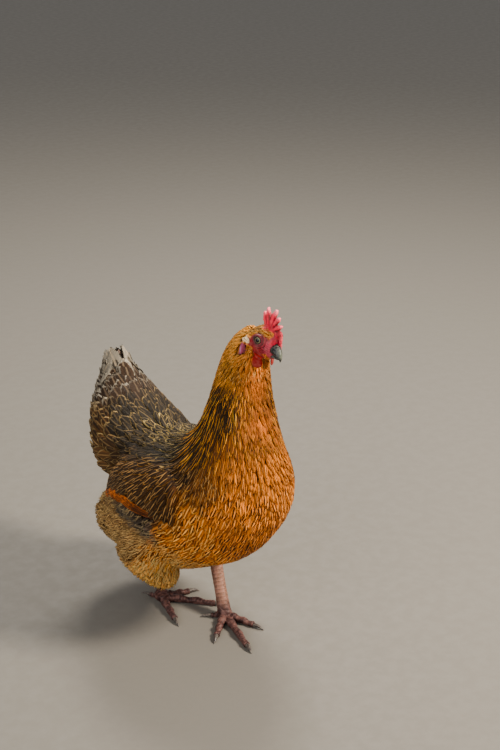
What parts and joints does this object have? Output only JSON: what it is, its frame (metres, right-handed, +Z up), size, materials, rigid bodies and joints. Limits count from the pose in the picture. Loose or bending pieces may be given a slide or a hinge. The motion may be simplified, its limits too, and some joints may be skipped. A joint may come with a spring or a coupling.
{
  "type": "hen",
  "caption": "Life-size still model of a gold-laced laying hen standing in mid-step, with raised short tail, red comb and bare legs.",
  "frame": {"origin": "floor level, midway under the bounding box", "axes": "-Y the way the hen faces, +X its left side, +Z up"},
  "size_m": [0.1876, 0.3102, 0.3964],
  "materials": {
    "plumage_gold": "soft matt feathers, golden orange with dark centres",
    "plumage_dark": "soft matt feathers, brown-grey with pale straw lacing",
    "plumage_tail": "stiff grey-brown feathers with pale frayed tips",
    "comb_skin": "bare red skin, finely pebbled",
    "earlobe_skin": "bare purple-pink skin",
    "bill_horn": "smooth dark horn with a pale tip",
    "eye": "wet gloss, orange iris and black pupil",
    "leg_scales": "dry pinkish-brown scales",
    "claw_horn": "worn dark horn"
  },
  "bodies": {
    "root": {"abdomen": "plumage_gold", "bill_lower": "bill_horn", "bill_upper": "bill_horn", "breast": "plumage_gold", "claw_hind_left": "claw_horn", "claw_hind_right": "claw_horn", "claw_inner_left": "claw_horn", "claw_inner_right": "claw_horn", "claw_middle_left": "claw_horn", "claw_middle_right": "claw_horn", "claw_outer_left": "claw_horn", "claw_outer_right": "claw_horn", "comb": "comb_skin", "earlobe_left": "earlobe_skin", "earlobe_right": "earlobe_skin", "eye_left": "eye", "eye_right": "eye", "foot_left": "leg_scales", "foot_right": "leg_scales", "head": "plumage_gold", "neck": "plumage_gold", "saddle": "plumage_dark", "shank_left": "leg_scales", "shank_right": "leg_scales", "tail": "plumage_tail", "thigh_left": "plumage_gold", "thigh_right": "plumage_gold", "trunk": "plumage_dark", "wattle_left": "comb_skin", "wattle_right": "comb_skin", "wing_left": "plumage_dark", "wing_right": "plumage_dark"}
  },
  "joints": []
}
